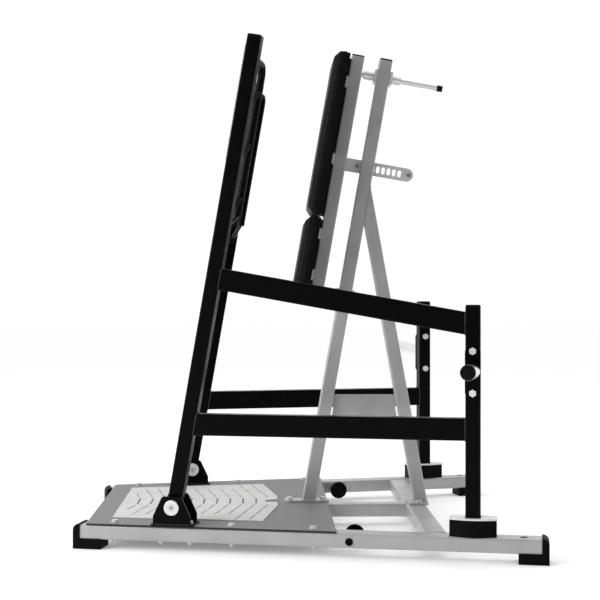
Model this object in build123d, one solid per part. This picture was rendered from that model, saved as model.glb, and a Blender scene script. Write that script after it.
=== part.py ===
from build123d import *
import math
import os

# A plate-loaded standing press machine.  Millimetres, +Z up, the user faces -X.
# The origin is on the floor, in the symmetry plane, midway along the machine.
# Each side lies in its own upright plane, splayed outwards towards the rear.

# Side planes and the arm pivots
SPLAY = 11.7            # plan angle of a side plane from the symmetry plane, degrees
LEAN = 10.0             # lean of the uprights, the column and the carriage, degrees
PIVOT_X = -452.0
PIVOT_Y = 482.0
PIVOT_Z = 153.0

# Base frame
RAIL_WIDTH = 80.0
RAIL_HEIGHT = 50.0
RAIL_BOTTOM = 33.0
RAIL_TOP = RAIL_BOTTOM + RAIL_HEIGHT
RAIL_FRONT = -334.0     # along the side plane, from the pivot
RAIL_REAR = 1257.0
WALL = 3.0
CORNER = 7.0
CROSSBAR_WIDTH = 75.0
REAR_CROSSBAR_X = 440.0
FRONT_CROSSBAR_X = -690.0
CENTRE_RAIL_WIDTH = 60.0

# Rubber feet
FOOT_WIDTH = 92.0
FOOT_LENGTH = 101.0
FOOT_CAP = 24.0
FOOT_TOP = 87.0
FOOT_ROUND = 22.0
FOOT_EDGE = 2.5
ANCHOR_INSET = 83.0     # floor bolt from the outer end of a foot
ANCHOR_HOLE = 13.0
ACCESS_HOLE = 28.0

# Foot plate and tread
PLATE_FRONT = -764.0
PLATE_REAR = 102.0
PLATE_THICK = 6.0
PLATE_TOP = RAIL_TOP + PLATE_THICK
TREAD_THICK = 3.0
TREAD_FRONT = -685.0
TREAD_SHOULDER = -147.0
TREAD_TIP = -91.0
TREAD_HALF_FRONT = 350.0
TREAD_HALF_REAR = 440.0
NOTCH_DEPTH = 46.0          # the tread's notch for the column's base plate
NOTCH_HALF = (22.0, 36.0)
ARROW_HALF = 110.0
GRIP_ROWS = 11              # chevron rows of anti-slip slots
GRIP_ROW_PITCH = 50.0
GRIP_ROW_START = 62.0
MIDDLE_SLOT = (128.0, 7.0)
DASH = (98.0, 5.0)
DASH_PITCH = 112.0
DASH_START = 138.0          # first dash's middle, from the symmetry plane
TREAD_BORDER = 13.0
BRACKET_ROOM = 24.0

# Arms
TUBE = 50.0
TUBE_CORNER = 6.0
STRUT_DEPTH = 75.0
UPRIGHT_LENGTH = 1648.0
CAP_HEIGHT = 7.0
CAP_EDGE = 5.0
UPPER_STRUT_UP = 805.0      # centre line, along the upright from the pivot
LOWER_STRUT_Z = 438.5
POST_U = 1030.0
POST_TOP = 848.0
HUB_DIA = 45.0
HUB_HALF = 39.0
PIN_DIA = 20.0
RUNNING_FIT = 0.05          # radial clearance of the pins and rods that move
EAR_INNER = 39.5
EAR_THICK = 8.0
EAR_WIDTH = 133.0
EAR_SHOULDER = 34.0         # height of an ear's upright sides
EAR_TOP = 38.0              # above the pivot
EAR_TOP_WIDTH = 68.0
EAR_CORNER = 9.0
BRACKET_LENGTH = 150.0
BRACKET_WIDTH = 96.0
BRACKET_THICK = 6.0
CAP_DIA = 53.0
CAP_THICK = 5.0

# Bumpers and the flanges that rest on them
BUMPER_LENGTH = 156.0
BUMPER_END = 48.0
BUMPER_MIDDLE = 84.0
BUMPER_TOP = 139.0
BUMPER_EDGE = 3.0
REST_GAP = 0.3
FLANGE_THICK = 6.0

# Weight pegs
PEG_Z = 631.0
PEG_DIA = 50.0
PEG_END = 342.0             # outer end of the sleeve, from the arm plane
PEG_TILT = 2.9
PEG_WALL = 4.0
PEG_NECK = (36.0, 0.5)       # end of the welded root along the peg, and how much thinner it is
PEG_PLATE_THICK = 8.0
PEG_PLATE = (26.0, 14.0, 95.0)      # half width, half width of its ends, half height
PEG_BOLT_SPREAD = 70.0
PEG_CAP_THICK = 10.0

# Handles
HANDLE_TOP = 1576.0         # along the upright from the pivot
HANDLE_BOTTOM = 1031.0
HANDLE_REACH = 188.0        # rail centre, inwards from the arm plane
HANDLE_DIA = 28.0
HANDLE_BEND = 42.0
GRIP_FIRST = 1424.0
GRIP_PITCH = 190.0
GRIP_COUNT = 3
GRIP_RISE = 60.0
GRIP_CORE = 20.0
GRIP_DIA = 30.0
LINK_DROP = 84.0            # lower link, below the handle's end
LINK_DIA = 16.0
STRIP_LOW = 1215.0
STRIP_HIGH = 1615.0
STRIP_WIDTH = 34.0
STRIP_THICK = 4.0

# Column, brace and gusset
COLUMN_X = 28.0
COLUMN_LENGTH = 1725.0
BRACE_X = 462.0
BRACE_LEAN = 10.2
BRACE_HOLE = 34.0          # the lower guide rod passes through the brace
BASE_PLATE_THICK = 8.0
GUSSET_LOW = 412.0
GUSSET_HIGH = 501.0
GUSSET_THICK = 8.0
GUSSET_STEP = 455.0         # below this height the gusset stands clear of the tubes
GUSSET_GAP = 7.0
COLUMN_BASE = (-66.0, 108.0, 64.0)      # front, rear and width of the column's base plate
COLUMN_BASE_CORNER = 24.0
BRACE_BASE = (76.0, 140.0)
BRACE_BASE_SHIFT = 8.0

# Upright bolts
PLATE_BOLTS = (-218.0, 201.0, 488.0)    # along the side plane, from the pivot
BRACKET_BOLTS = (-52.0, 52.0)
COLUMN_BOLTS = (-45.0, 86.0)
BRACE_BOLTS = (-48.0, 48.0)
BOLT_HEAD = 24.0
BOLT_HEAD_HEIGHT = 7.0
BOLT_SHANK = 10.0
BOLT_END = 16.0             # below the face that the nut sits on
NUT_HEIGHT = 9.0
WASHER_DIA = 28.0
WASHER_THICK = 2.0

# Pad carriage, in the column's own leaning frame
CARRIAGE_OFFSET = -109.0
CARRIAGE_TUBE = 50.0
CARRIAGE_LOW = 787.0
CARRIAGE_HIGH = 1722.0
ROD_DIA = 20.0
ROD_REAR = 212.0
ROD_HEIGHTS = (805.0, 1658.0)
HOUSING_DIA = 33.0
HOUSING_BORE = 26.0
HOUSING_FRONT = -75.0
HOUSING_REAR = 68.0
HOUSING_FLANGE = 52.0
HOUSING_FLANGE_THICK = 10.0
SELECTOR_HEIGHT = 1306.0
SELECTOR_DEPTH = 51.0
SELECTOR_THICK = 8.0
SELECTOR_REAR = 180.0
SLOT_COUNT = 7
SLOT_STEP = 21.0
SLOT_TALL = 27.0
SLOT_WIDE = 14.0
SELECTOR_PIN_DIA = 12.0
PIN_TIP = 6.0              # drawn back and parked, clear of the selector plate
PIN_TRAVEL = 14.0
PIN_HOUSING_DIA = 26.0
PIN_HOUSING_END = 50.0

# Pads
PAD_HALF_WIDTH = 140.0
PAD_BACK = -143.0
PAD_BOARD_THICK = 12.0
PAD_FRONT = -202.0
PAD_CHAMFER = 20.0
MAIN_PAD = (1087.0, 1714.0)
LOWER_PAD = (793.0, 1084.0)
PAD_BRACKETS = (863.0, 1023.0, 1315.0, 1614.0)

# Band pegs through the side rails
BAND_U = 617.0
BAND_Z = 55.0
BAND_BAR = 20.0
BAND_DISC = 70.0
BAND_DISC_THICK = 12.0
BAND_PLUG = 26.0
BAND_REACH = 110.0

FAR = 4000.0
RAD = math.pi / 180.0

SIDE = Plane(
    origin=(PIVOT_X, PIVOT_Y, 0),
    x_dir=(math.cos(SPLAY * RAD), math.sin(SPLAY * RAD), 0),
    z_dir=(0, 0, 1),
)
LEANING = Location((0, 0, PIVOT_Z), (0, LEAN, 0))
COLUMN_FRAME = Location((COLUMN_X, 0, PLATE_TOP), (0, LEAN, 0))
BRACE_FRAME = Location((BRACE_X, 0, RAIL_TOP), (0, -BRACE_LEAN, 0))

parts = {}


def add(name, shape):
    """Keep one node."""
    parts[name] = shape


def add_pair(name, shape):
    """Keep a right-hand node drawn in the side plane, and its left-hand mirror image."""
    right = SIDE * shape
    add("right_" + name, right)
    add("left_" + name, mirror(right, about=Plane.XZ))


def both_sides(shapes):
    """Right-hand shapes drawn in the side plane, with their mirror images."""
    right = [SIDE * shape for shape in shapes]
    left = [mirror(shape, about=Plane.XZ) for shape in right]
    return right + left


def group(shapes):
    """Separate solids kept in one node."""
    return Compound(children=list(shapes))


def block(x_range, y_range, z_range):
    """A box given by its lowest and highest coordinates."""
    size = [high - low for low, high in (x_range, y_range, z_range)]
    middle = [(high + low) / 2 for low, high in (x_range, y_range, z_range)]
    return Pos(*middle) * Box(*size)


def tube(width, depth, low, high, wall=WALL, corner=TUBE_CORNER):
    """A hollow rectangular tube along Z."""
    outer = RectangleRounded(width, depth, corner)
    inner = RectangleRounded(width - 2 * wall, depth - 2 * wall, corner - wall / 2)
    return Pos(0, 0, low) * extrude(outer - inner, high - low)


def rod(start, end, diameter):
    """A round bar between two points."""
    start = Vector(*start)
    end = Vector(*end)
    axis = end - start
    return Plane(origin=start, z_dir=axis.normalized()) * extrude(Circle(diameter / 2), axis.length)


def upright_profile(face, outer, thickness):
    """A plate in the side plane: the face's Y is up, and it ends at the given outward distance."""
    wall = Plane(origin=(0, outer, 0), x_dir=(1, 0, 0), z_dir=(0, -1, 0))
    return wall * extrude(face, thickness)


def lens(length, ends, middle):
    """A plan outline with two flat ends and two bowed sides."""
    x = length / 2
    outline = [
        ThreePointArc((-x, -ends / 2), (0, -middle / 2), (x, -ends / 2)),
        Line((x, -ends / 2), (x, ends / 2)),
        ThreePointArc((x, ends / 2), (0, middle / 2), (-x, ends / 2)),
        Line((-x, ends / 2), (-x, -ends / 2)),
    ]
    return make_face(outline)


def hexagon(width, height):
    """A hexagon head or nut on Z = 0, with its corners turned down at the top."""
    solid = extrude(RegularPolygon(width / 2, 6), height)
    bevel = Pos(0, 0, height / 2) * Cone(width / 2 + height - 1.4, width / 2 - 1.4, height)
    return solid & bevel


def bolt(x, y, top, bottom):
    """An upright bolt: washer and head above top, shank, washer and nut below bottom."""
    washer = extrude(Circle(WASHER_DIA / 2), WASHER_THICK)
    head = Pos(0, 0, WASHER_THICK) * hexagon(BOLT_HEAD, BOLT_HEAD_HEIGHT)
    nut = Pos(0, 0, -WASHER_THICK) * Rot(180, 0, 0) * hexagon(BOLT_HEAD - 4, NUT_HEIGHT)
    shank = extrude(Circle(BOLT_SHANK / 2), top - bottom + BOLT_END + 1)
    return (
        Pos(x, y, top) * (washer + head)
        + Pos(x, y, bottom - BOLT_END) * shank
        + Pos(x, y, bottom - WASHER_THICK) * washer
        + Pos(x, y, bottom) * nut
    )


def side_bolts():
    """Foot-plate bolts and bracket bolts of one side, in the side plane."""
    plate = [bolt(u, 0, PLATE_TOP, RAIL_BOTTOM) for u in PLATE_BOLTS]
    flange_top = PLATE_TOP + BRACKET_THICK
    bracket = [bolt(u, 0, flange_top, RAIL_BOTTOM) for u in BRACKET_BOLTS]
    return plate + bracket


def centre_bolts():
    """Bolts of the column's and the brace's base plates."""
    top = PLATE_TOP + BASE_PLATE_THICK
    column = [bolt(x, 0, top, RAIL_BOTTOM) for x in COLUMN_BOLTS]
    top = RAIL_TOP + BASE_PLATE_THICK
    x = REAR_CROSSBAR_X + BRACE_BASE_SHIFT
    brace = [bolt(x, y, top, RAIL_BOTTOM) for y in BRACE_BOLTS]
    return column + brace


def rail_envelope():
    """The outer volume of a side rail, in the side plane."""
    section = RectangleRounded(RAIL_HEIGHT, RAIL_WIDTH, CORNER)
    along = Location((RAIL_FRONT, 0, RAIL_BOTTOM + RAIL_HEIGHT / 2), (0, 90, 0))
    return along * extrude(section, RAIL_REAR - RAIL_FRONT)


def anchor_places():
    """Floor-bolt places along a side rail."""
    return (
        RAIL_FRONT - FOOT_CAP + ANCHOR_INSET,
        RAIL_REAR + FOOT_CAP - ANCHOR_INSET,
    )


def make_rails():
    """The two splayed side rails, drilled for the bolts, band pegs and floor bolts."""
    along = Location((0, 0, RAIL_BOTTOM + RAIL_HEIGHT / 2), (0, 90, 0))
    rail = along * tube(RAIL_HEIGHT, RAIL_WIDTH, RAIL_FRONT, RAIL_REAR, WALL, CORNER)
    for drilled in side_bolts() + [band_bar()]:
        rail -= drilled
    for u in anchor_places():
        rail -= Pos(u, 0, RAIL_TOP) * Cylinder(ACCESS_HOLE / 2, 4 * WALL)
        rail -= Pos(u, 0, RAIL_BOTTOM) * Cylinder(ANCHOR_HOLE / 2, 4 * WALL)
    add_pair("rail", rail)


def make_feet():
    """Rubber feet: a pad under the rail that turns up round its end."""
    feet = []
    for end, turn in ((RAIL_FRONT - FOOT_CAP, 0), (RAIL_REAR + FOOT_CAP, 180)):
        profile = Polyline(
            (0, 0),
            (FOOT_LENGTH, 0),
            (FOOT_LENGTH, RAIL_BOTTOM),
            (FOOT_CAP, RAIL_BOTTOM),
            (FOOT_CAP, FOOT_TOP),
            (0, FOOT_TOP),
            close=True,
        )
        outline = make_face(profile)
        outline = fillet(outline.vertices().sort_by(Axis.Y)[-2:].sort_by(Axis.X)[0], FOOT_ROUND)
        solid = upright_profile(outline, FOOT_WIDTH / 2, FOOT_WIDTH)
        solid = fillet(solid.faces().sort_by(Axis.Y)[0].edges(), FOOT_EDGE)
        solid = fillet(solid.faces().sort_by(Axis.Y)[-1].edges(), FOOT_EDGE)
        hole = Pos(ANCHOR_INSET, 0, 0) * Cylinder(ANCHOR_HOLE / 2, 4 * RAIL_BOTTOM)
        feet.append(Location((end, 0, 0), (0, 0, turn)) * (solid - hole))
    add("rubber_feet", group(both_sides(feet)))


def make_crossbars():
    """Tubes across the rails, and the centre rail between them."""
    envelopes = both_sides([rail_envelope()])
    bolts = centre_bolts()
    middle_z = RAIL_BOTTOM + RAIL_HEIGHT / 2
    for name, x in (("rear_crossbar", REAR_CROSSBAR_X), ("front_crossbar", FRONT_CROSSBAR_X)):
        across = Location((x, 0, middle_z), (90, 0, 0))
        bar = across * tube(CROSSBAR_WIDTH, RAIL_HEIGHT, -700.0, 700.0, WALL, CORNER)
        for envelope in envelopes:
            bar -= envelope
        bar = bar.solids().sort_by(lambda solid: abs(solid.center().Y))[0]
        for drilled in bolts:
            bar -= drilled
        add(name, bar)
    along = Location((0, 0, middle_z), (0, 90, 0))
    front = FRONT_CROSSBAR_X + CROSSBAR_WIDTH / 2
    rear = REAR_CROSSBAR_X - CROSSBAR_WIDTH / 2
    rail = along * tube(RAIL_HEIGHT, CENTRE_RAIL_WIDTH, front, rear, WALL, CORNER)
    for drilled in bolts:
        rail -= drilled
    add("centre_rail", rail)


def rail_outer(x):
    """Half-width over the side rails at a given X."""
    spread = math.tan(SPLAY * RAD) * (x - PIVOT_X)
    return PIVOT_Y + spread + RAIL_WIDTH / 2 / math.cos(SPLAY * RAD)


def make_foot_plate():
    """The trapezoid foot plate, bolted on the rails."""
    front = rail_outer(PLATE_FRONT)
    rear = rail_outer(PLATE_REAR)
    outline = Polyline(
        (PLATE_FRONT, -front),
        (PLATE_REAR, -rear),
        (PLATE_REAR, rear),
        (PLATE_FRONT, front),
        close=True,
    )
    plate = Pos(0, 0, RAIL_TOP) * extrude(make_face(outline), PLATE_THICK)
    for drilled in both_sides(side_bolts()) + centre_bolts():
        plate -= drilled
    add("foot_plate", plate)


def tread_slots():
    """Rows of anti-slip slots in chevrons; their arms are square to the side rails."""
    slots = []
    for row in range(GRIP_ROWS):
        tip = TREAD_FRONT + GRIP_ROW_START + row * GRIP_ROW_PITCH
        slots.append(Pos(tip, 0) * Rot(0, 0, 90) * SlotOverall(*MIDDLE_SLOT))
        for side in (-1, 1):
            for step in range(3):
                across = DASH_START + step * DASH_PITCH
                back = (across - MIDDLE_SLOT[0] / 2) * math.tan(SPLAY * RAD)
                place = Pos(tip - back, side * across) * Rot(0, 0, 90 + side * SPLAY)
                slots.append(place * SlotOverall(*DASH))
    return slots


def make_tread():
    """The anti-slip insert with its arrow-shaped rear end."""
    notch = TREAD_TIP - NOTCH_DEPTH
    right = [
        (notch, NOTCH_HALF[0]),
        (TREAD_TIP, NOTCH_HALF[1]),
        (TREAD_TIP, ARROW_HALF),
        (TREAD_SHOULDER, TREAD_HALF_REAR),
        (TREAD_FRONT, TREAD_HALF_FRONT),
    ]
    left = [(x, -y) for x, y in reversed(right)]
    face = make_face(Polyline(*left, *right, close=True))
    room = offset(face, -TREAD_BORDER)
    bracket = Rectangle(BRACKET_LENGTH + BRACKET_ROOM, BRACKET_WIDTH + BRACKET_ROOM)
    for cut in both_sides([bracket]):
        room -= cut
        face -= cut
    for slot in tread_slots():
        if (slot - room).area < 0.01:
            face -= slot
    add("tread_insert", Pos(0, 0, PLATE_TOP) * extrude(face, TREAD_THICK))


def make_brackets():
    """Clevis brackets with their ears, pins and end caps."""
    low = PLATE_TOP + BRACKET_THICK
    half = EAR_WIDTH / 2
    half_top = EAR_TOP_WIDTH / 2
    top = PIVOT_Z + EAR_TOP
    outline = Polyline(
        (-half, low),
        (half, low),
        (half, PLATE_TOP + EAR_SHOULDER),
        (half_top, top),
        (-half_top, top),
        (-half, PLATE_TOP + EAR_SHOULDER),
        close=True,
    )
    ear_face = make_face(outline)
    upper_corners = ear_face.vertices().sort_by(Axis.Y)[2:]
    ear_face = fillet(upper_corners, EAR_CORNER)
    flange = block(
        (-BRACKET_LENGTH / 2, BRACKET_LENGTH / 2),
        (-BRACKET_WIDTH / 2, BRACKET_WIDTH / 2),
        (PLATE_TOP, low),
    )
    outer = EAR_INNER + EAR_THICK
    bracket = flange + upright_profile(ear_face, outer, EAR_THICK)
    bracket += upright_profile(ear_face, -EAR_INNER, EAR_THICK)
    pin = rod((0, -outer, PIVOT_Z), (0, outer, PIVOT_Z), PIN_DIA)
    bracket -= pin
    for drilled in side_bolts():
        bracket -= drilled
    add_pair("pivot_bracket", bracket)
    caps = []
    for side in (-1, 1):
        end = side * (outer + CAP_THICK)
        cap = rod((0, side * outer, PIVOT_Z), (0, end, PIVOT_Z), CAP_DIA)
        rim = cap.faces().sort_by(Axis.Y)[-1 if side > 0 else 0]
        cap = fillet(rim.edges(), 2.0)
        cap -= rod((0, end - side * 2.5, PIVOT_Z), (0, end + side, PIVOT_Z), 9.0)
        caps.append(cap)
    add("pivot_pins", group(both_sides([pin] + caps)))


def make_arm_tubes():
    """The arm's welded tubes: upright, hub, two struts and the rear post."""
    hub = rod((0, -HUB_HALF, PIVOT_Z), (0, HUB_HALF, PIVOT_Z), HUB_DIA)
    upright = LEANING * tube(TUBE, TUBE, -26.0, UPRIGHT_LENGTH) - hub
    bore = PIN_DIA + 2 * RUNNING_FIT
    hub -= rod((0, -HUB_HALF - 1, PIVOT_Z), (0, HUB_HALF + 1, PIVOT_Z), bore)
    add_pair("upright", upright)
    add_pair("pivot_hub", hub)

    front_half = LEANING * block((-FAR, TUBE / 2), (-FAR, FAR), (-FAR, FAR))
    post_face = POST_U - TUBE / 2
    rear_half = block((post_face, FAR), (-FAR, FAR), (-FAR, FAR))
    upper = Pos(0, 0, UPPER_STRUT_UP) * Rot(0, 90, 0) * tube(STRUT_DEPTH, TUBE, 0, 1200.0)
    add_pair("upper_strut", LEANING * upper - front_half - rear_half)
    lower = Pos(0, 0, LOWER_STRUT_Z) * Rot(0, 90, 0) * tube(STRUT_DEPTH, TUBE, 0, 1200.0)
    add_pair("lower_strut", lower - front_half - rear_half)


def peg_bolts():
    """Two cross bolts that hold the peg's plate to the post."""
    bolts = []
    outer = TUBE / 2 + PEG_PLATE_THICK
    for z in (PEG_Z - PEG_BOLT_SPREAD, PEG_Z + PEG_BOLT_SPREAD):
        shank = rod((POST_U, -TUBE / 2 - 12, z), (POST_U, outer, z), 14.0)
        head = Plane(origin=(POST_U, outer, z), z_dir=(0, 1, 0)) * extrude(RegularPolygon(13, 6), 8)
        nut = Plane(origin=(POST_U, -TUBE / 2, z), z_dir=(0, -1, 0)) * extrude(RegularPolygon(13, 6), 10)
        bolts.append(shank + head + nut)
    return bolts


def make_post_and_peg():
    """The rear post with its flange, weight peg and bolts."""
    bolts = peg_bolts()
    flange_low = BUMPER_TOP + REST_GAP
    flange_high = flange_low + FLANGE_THICK
    post = Pos(POST_U, 0, 0) * tube(TUBE, TUBE, flange_high, POST_TOP)
    for drilled in bolts:
        post -= drilled
    add_pair("rear_post", post)
    flange = extrude(lens(BUMPER_LENGTH + 4, BUMPER_END + 4, BUMPER_MIDDLE + 4), FLANGE_THICK)
    add_pair("post_flange", Pos(POST_U, 0, flange_low) * flange)

    half, tip, end = PEG_PLATE
    plate_outline = Polyline(
        (-half, -PEG_BOLT_SPREAD),
        (-tip, -end),
        (tip, -end),
        (half, -PEG_BOLT_SPREAD),
        (half, PEG_BOLT_SPREAD),
        (tip, end),
        (-tip, end),
        (-half, PEG_BOLT_SPREAD),
        close=True,
    )
    outer = TUBE / 2 + PEG_PLATE_THICK
    plate = upright_profile(make_face(plate_outline), outer, PEG_PLATE_THICK)
    plate = Pos(POST_U, 0, PEG_Z) * plate
    for drilled in bolts:
        plate -= drilled
    add_pair("peg_plate", plate)
    add_pair("peg_bolts", group(bolts))

    axis = Location((POST_U, 0, PEG_Z), (-90 + PEG_TILT, 0, 0))
    neck_end, neck_step = PEG_NECK
    hollow = Circle(PEG_DIA / 2 - PEG_WALL)
    root = extrude(Circle(PEG_DIA / 2 - neck_step) - hollow, neck_end)
    working = Pos(0, 0, neck_end) * extrude(Circle(PEG_DIA / 2) - hollow, PEG_END - neck_end)
    sleeve = axis * (root + working)
    sleeve -= block((-FAR, FAR), (-FAR, outer), (-FAR, FAR))
    add_pair("weight_peg", sleeve)
    cap = Pos(0, 0, PEG_END) * extrude(Circle(PEG_DIA / 2 - 0.5), PEG_CAP_THICK)
    cap = fillet(cap.edges().group_by(Axis.Z)[-1], 3.0)
    cap += Pos(0, 0, PEG_END + PEG_CAP_THICK) * extrude(RegularPolygon(10, 6), 4.0)
    add_pair("peg_cap", axis * cap)


def make_handles():
    """The handle frame on the arm's inner side, and its rubber grips."""
    inner_face = -TUBE / 2
    path = FilletPolyline(
        (0, inner_face, HANDLE_TOP),
        (0, -HANDLE_REACH, HANDLE_TOP),
        (0, -HANDLE_REACH, HANDLE_BOTTOM),
        radius=HANDLE_BEND,
    )
    start = Plane(origin=path @ 0, z_dir=path % 0)
    rail = sweep(start * Circle(HANDLE_DIA / 2), path=path)
    beyond = block((-FAR, FAR), (inner_face, FAR), (-FAR, FAR))

    def slanted(height, diameter, near, far):
        """A bar that rises inwards, between two shares of its run."""
        run = -HANDLE_REACH - inner_face
        begin = (0, inner_face + near * run, height + near * GRIP_RISE)
        end = (0, inner_face + far * run, height + far * GRIP_RISE)
        return rod(begin, end, diameter)

    heights = [GRIP_FIRST - row * GRIP_PITCH for row in range(GRIP_COUNT)]
    frame = rail
    for height in heights:
        frame += slanted(height, GRIP_CORE, -0.1, 1.0)
    frame += slanted(HANDLE_BOTTOM - LINK_DROP + 30.0, LINK_DIA, -0.1, 1.0)
    frame -= beyond
    add_pair("handle_frame", LEANING * frame)
    grips = []
    for height in heights:
        sleeve = slanted(height, GRIP_DIA, 0.12, 0.76)
        grips.append(LEANING * (sleeve - slanted(height, GRIP_CORE, -0.1, 1.0)))
    add_pair("handle_grips", group(grips))


def make_arm_trim():
    """End caps and the front strip of an arm."""
    top = extrude(RectangleRounded(TUBE - 0.6, TUBE - 0.6, TUBE_CORNER), CAP_HEIGHT)
    top = fillet(top.edges().group_by(Axis.Z)[-1], CAP_EDGE)
    upright_cap = LEANING * Pos(0, 0, UPRIGHT_LENGTH) * top
    post_cap = Pos(POST_U, 0, POST_TOP) * top
    add_pair("arm_caps", group([upright_cap, post_cap]))
    front = -TUBE / 2
    strip = block(
        (front - STRIP_THICK, front),
        (-STRIP_WIDTH / 2, STRIP_WIDTH / 2),
        (STRIP_LOW, STRIP_HIGH),
    )
    add_pair("front_strip", LEANING * strip)


def make_bumpers():
    """Rubber bumpers on the rails under the posts."""
    solid = extrude(lens(BUMPER_LENGTH, BUMPER_END, BUMPER_MIDDLE), BUMPER_TOP - RAIL_TOP)
    solid = fillet(solid.edges().group_by(Axis.Z)[-1], BUMPER_EDGE)
    bumper = Pos(POST_U, 0, RAIL_TOP) * solid
    add("rear_bumpers", group(both_sides([bumper])))


def band_bar():
    """The bar of a band peg, through the side rail."""
    start = (BAND_U, BAND_DISC_THICK - BAND_REACH, BAND_Z)
    end = (BAND_U, RAIL_WIDTH / 2 + 4, BAND_Z)
    return rod(start, end, BAND_BAR)


def make_band_pegs():
    """Pegs for elastic bands, with a disc inside and a plug outside each rail."""
    start = (BAND_U, -BAND_REACH, BAND_Z)
    disc = rod(start, (BAND_U, BAND_DISC_THICK - BAND_REACH, BAND_Z), BAND_DISC)
    outer = RAIL_WIDTH / 2
    plug = rod((BAND_U, outer, BAND_Z), (BAND_U, outer + 4, BAND_Z), BAND_PLUG)
    pegs = [fillet(disc.edges(), 3.0) + band_bar() + plug]
    add("band_pegs", group(both_sides(pegs)))


def brace_front(z):
    """X of the brace's front face at a height."""
    centre = BRACE_X - (z - RAIL_TOP) * math.tan(BRACE_LEAN * RAD)
    return centre - TUBE / 2 / math.cos(BRACE_LEAN * RAD)


def column_rear(z):
    """X of the column's rear face at a height."""
    centre = COLUMN_X + (z - PLATE_TOP) * math.tan(LEAN * RAD)
    return centre + TUBE / 2 / math.cos(LEAN * RAD)


def make_column():
    """The leaning column, its rear brace, gusset and base plates."""
    floor_cut = block((-FAR, FAR), (-FAR, FAR), (-FAR, PLATE_TOP + BASE_PLATE_THICK))
    column = COLUMN_FRAME * tube(TUBE, TUBE, 0, COLUMN_LENGTH)
    column -= floor_cut
    slot = Pos(0, 0, SELECTOR_HEIGHT) * Box(FAR, SELECTOR_THICK + 2, SELECTOR_DEPTH + 4)
    slot &= block((-60.0, 60.0), (-30.0, 30.0), (0.0, COLUMN_LENGTH))
    column -= COLUMN_FRAME * slot
    for height in ROD_HEIGHTS:
        column -= COLUMN_FRAME * rod((-60, 0, height), (60, 0, height), HOUSING_BORE)
    column -= COLUMN_FRAME * rod((0, 0, SELECTOR_HEIGHT), (0, 60, SELECTOR_HEIGHT), 14.0)
    add("column", column)

    top = extrude(RectangleRounded(TUBE - 0.6, TUBE - 0.6, TUBE_CORNER), CAP_HEIGHT)
    top = fillet(top.edges().group_by(Axis.Z)[-1], CAP_EDGE)
    add("column_cap", COLUMN_FRAME * Pos(0, 0, COLUMN_LENGTH) * top)

    front_half = COLUMN_FRAME * block((-FAR, TUBE / 2), (-FAR, FAR), (-FAR, FAR))
    crossbar_cut = block((-FAR, FAR), (-FAR, FAR), (-FAR, RAIL_TOP + BASE_PLATE_THICK))
    brace = BRACE_FRAME * tube(TUBE, TUBE, -20.0, 1500.0)
    lower_rod = ROD_HEIGHTS[0]
    brace -= COLUMN_FRAME * rod((60, 0, lower_rod), (250, 0, lower_rod), BRACE_HOLE)
    add("brace", brace - crossbar_cut - front_half)

    corners = Polyline(
        (column_rear(GUSSET_LOW) + GUSSET_GAP, GUSSET_LOW),
        (brace_front(GUSSET_LOW) - GUSSET_GAP, GUSSET_LOW),
        (brace_front(GUSSET_STEP) - GUSSET_GAP, GUSSET_STEP),
        (brace_front(GUSSET_STEP), GUSSET_STEP),
        (brace_front(GUSSET_HIGH), GUSSET_HIGH),
        (column_rear(GUSSET_HIGH), GUSSET_HIGH),
        (column_rear(GUSSET_STEP), GUSSET_STEP),
        (column_rear(GUSSET_STEP) + GUSSET_GAP, GUSSET_STEP),
        close=True,
    )
    add("gusset", upright_profile(make_face(corners), GUSSET_THICK / 2, GUSSET_THICK))

    front, rear, width = COLUMN_BASE
    outline = RectangleRounded(rear - front, width, COLUMN_BASE_CORNER)
    column_base = Pos((front + rear) / 2, 0, PLATE_TOP) * extrude(outline, BASE_PLATE_THICK)
    outline = RectangleRounded(*BRACE_BASE, CORNER)
    centre_x = REAR_CROSSBAR_X + BRACE_BASE_SHIFT
    brace_base = Pos(centre_x, 0, RAIL_TOP) * extrude(outline, BASE_PLATE_THICK)
    bases = [column_base, brace_base]
    for drilled in centre_bolts():
        bases = [base - drilled for base in bases]
    add("base_plates", group(bases))


def make_bolts():
    """Every upright bolt of the base frame."""
    add("frame_bolts", group(both_sides(side_bolts()) + centre_bolts()))


def pin_housing():
    """The barrel that the selector pin slides in, on the column's right-hand face."""
    face = TUBE / 2
    height = SELECTOR_HEIGHT
    bore = SELECTOR_PIN_DIA + 2 * RUNNING_FIT
    housing = rod((0, face, height), (0, PIN_HOUSING_END, height), PIN_HOUSING_DIA)
    return housing - rod((0, face - 1, height), (0, PIN_HOUSING_END + 1, height), bore)


def make_guides():
    """Housings and bushes that the carriage's rods run in, and the pin's housing."""
    housings = []
    bushes = []
    for height in ROD_HEIGHTS:
        for face, end in ((-TUBE / 2, HOUSING_FRONT), (TUBE / 2, HOUSING_REAR)):
            step = math.copysign(HOUSING_FLANGE_THICK, end)
            low, high = sorted((face, face + step))
            flange = block(
                (low, high),
                (-HOUSING_FLANGE / 2, HOUSING_FLANGE / 2),
                (height - HOUSING_FLANGE / 2, height + HOUSING_FLANGE / 2),
            )
            barrel = rod((face, 0, height), (end, 0, height), HOUSING_DIA)
            bore = rod((face - step, 0, height), (end + step, 0, height), HOUSING_BORE)
            lining = rod((face, 0, height), (end, 0, height), HOUSING_BORE)
            running = rod((face - step, 0, height), (end + step, 0, height), ROD_DIA + 2 * RUNNING_FIT)
            housings.append(COLUMN_FRAME * (flange + barrel - bore))
            bushes.append(COLUMN_FRAME * (lining - running))
    housings.append(COLUMN_FRAME * pin_housing())
    add("guide_housings", group(housings))
    add("guide_bushes", group(bushes))


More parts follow.
